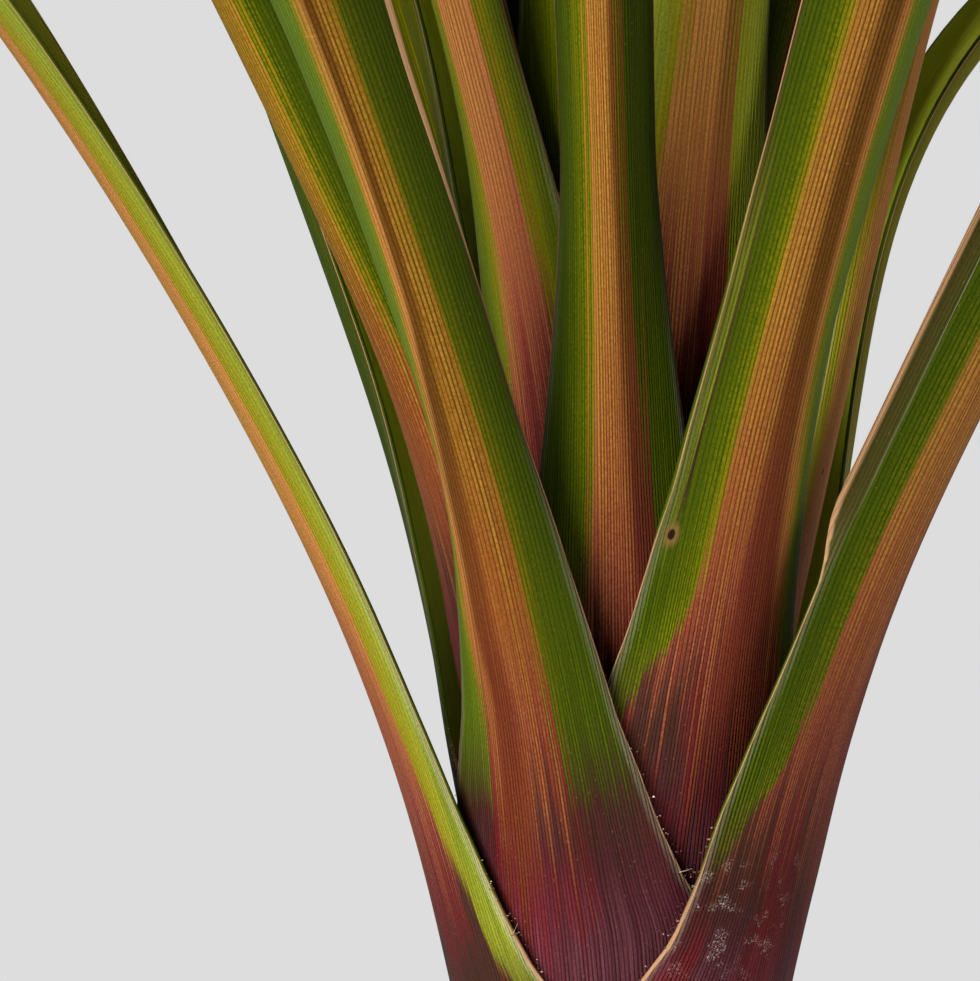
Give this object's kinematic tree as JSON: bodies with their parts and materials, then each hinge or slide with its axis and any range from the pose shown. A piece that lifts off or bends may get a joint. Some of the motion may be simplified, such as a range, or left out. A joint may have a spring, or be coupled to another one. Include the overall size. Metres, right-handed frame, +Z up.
{
  "type": "potted cabbage tree",
  "caption": "Cabbage tree in a plain clay pot: a short scarred trunk and a crown of arching sword-shaped leaves, green with orange midribs and maroon sheaths.",
  "frame": {"origin": "centre of the pot's foot, on the surface that it stands on", "axes": "+Z up along the trunk, -Y towards the front, +X to the right seen from the front"},
  "size_m": [0.7785, 0.7703, 0.9234],
  "materials": {
    "clay": "matte",
    "soil": "matte",
    "bark": "matte",
    "leaf": "satin"
  },
  "bodies": {
    "root": {"pot": "clay", "soil": "soil", "trunk": "bark", "leaf_01": "leaf", "leaf_02": "leaf", "leaf_03": "leaf", "leaf_04": "leaf", "leaf_05": "leaf", "leaf_06": "leaf", "leaf_07": "leaf", "leaf_08": "leaf", "leaf_09": "leaf", "leaf_10": "leaf", "leaf_11": "leaf", "leaf_12": "leaf", "leaf_13": "leaf", "leaf_14": "leaf", "leaf_15": "leaf", "leaf_16": "leaf", "leaf_17": "leaf", "leaf_18": "leaf", "leaf_19": "leaf", "leaf_20": "leaf", "leaf_21": "leaf", "leaf_22": "leaf", "leaf_23": "leaf", "leaf_24": "leaf", "leaf_25": "leaf", "leaf_26": "leaf", "leaf_27": "leaf", "leaf_28": "leaf", "leaf_29": "leaf", "leaf_30": "leaf", "leaf_31": "leaf", "leaf_32": "leaf", "leaf_33": "leaf", "leaf_34": "leaf", "leaf_35": "leaf", "leaf_36": "leaf", "leaf_37": "leaf", "leaf_38": "leaf", "leaf_39": "leaf", "leaf_40": "leaf", "spear": "leaf"}
  },
  "joints": []
}
